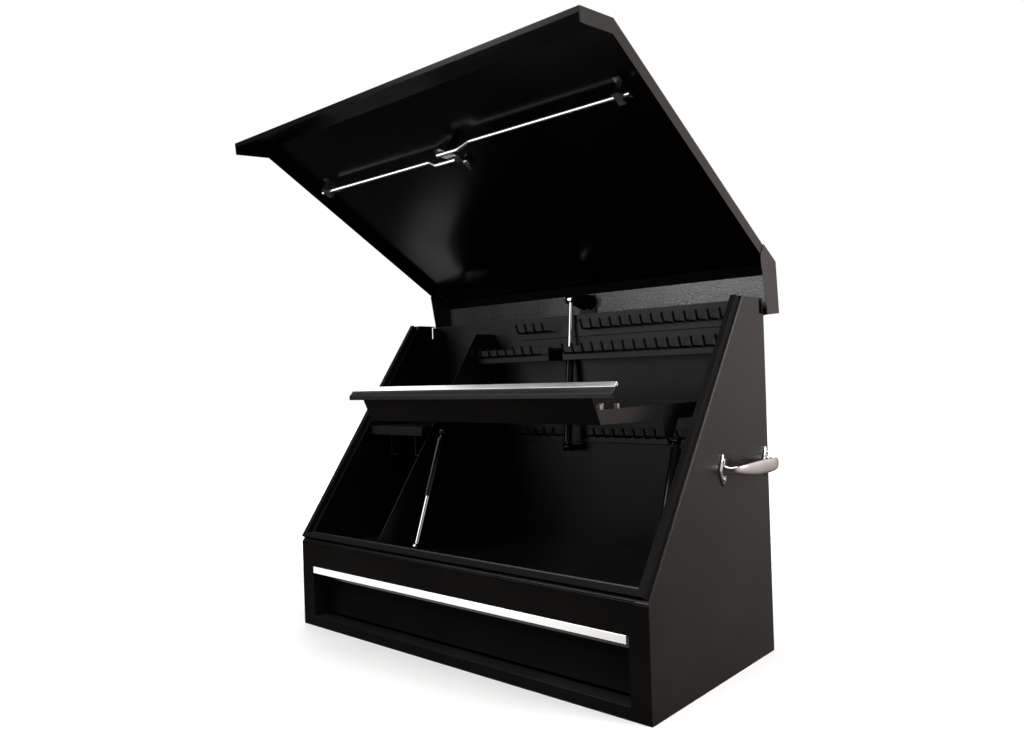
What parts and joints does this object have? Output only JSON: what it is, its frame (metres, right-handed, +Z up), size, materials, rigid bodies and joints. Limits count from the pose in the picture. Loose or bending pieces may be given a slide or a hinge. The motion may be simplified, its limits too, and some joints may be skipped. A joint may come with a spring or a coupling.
{
  "type": "triangle tool box",
  "caption": "Wedge-fronted sheet-steel tool box with a lift-up lid, a sprung lift-up socket tier, wrench racks, a shelf compartment, bow handles and a full-width drawer.",
  "frame": {"origin": "middle of the box's underside, on the floor", "axes": "+X to the right seen from the front, +Y to the rear, +Z up; lid open, tier raised and drawer shut at rest"},
  "size_m": [1, 0.635, 1.0694],
  "materials": {
    "black_coat": "fine-textured black powder coat, semi-gloss",
    "rack_black": "satin black",
    "strut_black": "gloss black",
    "bright_chrome": "polished",
    "bright_aluminium": "bright brushed",
    "zinc_steel": "zinc plated",
    "seal_rubber": "matt"
  },
  "bodies": {
    "base": {"left_side_panel": "black_coat", "right_side_panel": "black_coat", "back_panel": "black_coat", "bottom_panel": "black_coat", "front_frame": "black_coat", "compartment_floor": "black_coat", "drawer_bay_left": "black_coat", "drawer_bay_right": "black_coat", "divider_panel": "black_coat", "left_shelf": "black_coat", "tool_hangers": "rack_black", "opening_seal": "seal_rubber", "upper_rack_rail": "rack_black", "upper_rack_hooks": "rack_black", "middle_rack_rail": "rack_black", "middle_rack_hooks": "rack_black", "lower_rack_rail": "rack_black", "lower_rack_hooks": "rack_black", "left_handle": "bright_chrome", "right_handle": "bright_chrome", "handle_screws": "bright_chrome", "hinge_leaf_body": "black_coat", "hinge_pin": "zinc_steel", "slide_outer_left": "zinc_steel", "slide_outer_right": "zinc_steel", "tier_pivot_left": "rack_black", "tier_pivot_right": "rack_black", "strut_foot_left": "rack_black", "strut_foot_right": "rack_black", "lid_strut_bracket": "rack_black"},
    "lid": {"lid_panel": "black_coat", "lid_rear_cap": "black_coat", "hinge_leaf_lid": "black_coat", "lid_strut_clevis": "black_coat", "latch_plate": "black_coat", "rod_guides": "zinc_steel"},
    "latch": {"latch_head": "black_coat", "latch_cam": "zinc_steel"},
    "latch_grip": {"latch_handle": "bright_chrome"},
    "key": {"key_plug": "bright_chrome"},
    "lock_rod_left": {"lock_rod_left": "bright_chrome"},
    "lock_rod_right": {"lock_rod_right": "bright_chrome"},
    "drawer": {"drawer_box": "black_coat", "drawer_front": "black_coat", "drawer_pull": "bright_aluminium", "slide_inner_left": "zinc_steel", "slide_inner_right": "zinc_steel"},
    "slide_middle_left": {"slide_middle_left": "zinc_steel"},
    "slide_middle_right": {"slide_middle_right": "zinc_steel"},
    "tier": {"tier_tray": "black_coat", "tier_front": "black_coat", "tier_trim": "bright_aluminium", "socket_rails": "zinc_steel"},
    "tier_strut_rod_left": {"tier_strut_rod_left": "bright_chrome"},
    "tier_strut_rod_right": {"tier_strut_rod_right": "bright_chrome"},
    "tier_strut_cylinder_left": {"tier_strut_cylinder_left": "strut_black"},
    "tier_strut_cylinder_right": {"tier_strut_cylinder_right": "strut_black"},
    "lid_strut_cylinder": {"lid_strut_cylinder": "strut_black"},
    "lid_strut_rod": {"lid_strut_rod": "bright_chrome"}
  },
  "joints": [
    {"name": "lid_hinge", "type": "hinge", "parent": "base", "child": "lid", "pos_m": [0, 0.23, 0.642], "axis": [-1, 0, 0], "range_deg": [-85, 0], "stiffness_Nm_per_rad": 18, "springref_deg": 137.51},
    {"name": "drawer_slide", "type": "slide", "parent": "base", "child": "drawer", "axis": [0, -1, 0], "range_m": [0, 0.33]},
    {"name": "latch_turn", "type": "hinge", "parent": "lid", "child": "latch", "pos_m": [0, -0.15121, 1.00581], "axis": [0, 0.5099, 0.8602], "range_deg": [0, 90]},
    {"name": "handle_fold", "type": "hinge", "parent": "latch", "child": "latch_grip", "pos_m": [0, -0.14407, 1.01785], "axis": [-1, 0, 0], "range_deg": [0, 90]},
    {"name": "key_turn", "type": "hinge", "parent": "lid", "child": "key", "pos_m": [0, -0.11164, 0.98235], "axis": [0, -0.5099, -0.8602], "range_deg": [0, 90]},
    {"name": "tier_hinge", "type": "hinge", "parent": "base", "child": "tier", "pos_m": [0.105, 0.199, 0.47], "axis": [-1, 0, 0], "range_deg": [-41, 0]},
    {"name": "tier_strut_swing_left", "type": "hinge", "parent": "base", "child": "tier_strut_rod_left", "pos_m": [-0.192, -0.112, 0.184], "axis": [1, 0, 0], "range_deg": [-39.05, 0]},
    {"name": "tier_strut_stroke_left", "type": "slide", "parent": "tier_strut_rod_left", "child": "tier_strut_cylinder_left", "axis": [0, 0.3468, 0.9379], "range_m": [-0.0516, 0]},
    {"name": "tier_strut_swing_right", "type": "hinge", "parent": "base", "child": "tier_strut_rod_right", "pos_m": [0.402, -0.112, 0.184], "axis": [1, 0, 0], "range_deg": [-39.05, 0]},
    {"name": "tier_strut_stroke_right", "type": "slide", "parent": "tier_strut_rod_right", "child": "tier_strut_cylinder_right", "axis": [0, 0.3468, 0.9379], "range_m": [-0.0516, 0]},
    {"name": "lid_strut_swing", "type": "hinge", "parent": "base", "child": "lid_strut_cylinder", "pos_m": [0, 0.181, 0.38], "axis": [-1, 0, 0], "range_deg": [-10.98, 0]},
    {"name": "lid_strut_stroke", "type": "slide", "parent": "lid_strut_cylinder", "child": "lid_strut_rod", "axis": [0, 0.091, 0.9958], "range_m": [-0.0853, 0]},
    {"name": "lock_rod_slide_left", "type": "slide", "parent": "lid", "child": "lock_rod_left", "axis": [-1, 0, 0], "range_m": [0, 0.0223]},
    {"name": "slide_middle_travel_left", "type": "slide", "parent": "base", "child": "slide_middle_left", "axis": [0, -1, 0], "range_m": [0, 0.165]},
    {"name": "lock_rod_slide_right", "type": "slide", "parent": "lid", "child": "lock_rod_right", "axis": [1, 0, 0], "range_m": [0, 0.0223]},
    {"name": "slide_middle_travel_right", "type": "slide", "parent": "base", "child": "slide_middle_right", "axis": [0, -1, 0], "range_m": [0, 0.165]}
  ],
  "couplings": [
    {"joint": "tier_hinge", "follows": "lid_hinge", "ratio": 0.48235},
    {"joint": "tier_strut_swing_left", "follows": "lid_hinge", "ratio": 0.45879},
    {"joint": "tier_strut_stroke_left", "follows": "lid_hinge", "m_per_rad": 0.034473},
    {"joint": "tier_strut_swing_right", "follows": "lid_hinge", "ratio": 0.45879},
    {"joint": "tier_strut_stroke_right", "follows": "lid_hinge", "m_per_rad": 0.034473},
    {"joint": "lid_strut_swing", "follows": "lid_hinge", "ratio": 0.12864},
    {"joint": "lid_strut_stroke", "follows": "lid_hinge", "m_per_rad": 0.057175},
    {"joint": "lock_rod_slide_left", "follows": "latch_turn", "m_per_rad": 0.014045},
    {"joint": "slide_middle_travel_left", "follows": "drawer_slide", "ratio": 0.5},
    {"joint": "lock_rod_slide_right", "follows": "latch_turn", "m_per_rad": 0.014045},
    {"joint": "slide_middle_travel_right", "follows": "drawer_slide", "ratio": 0.5}
  ]
}
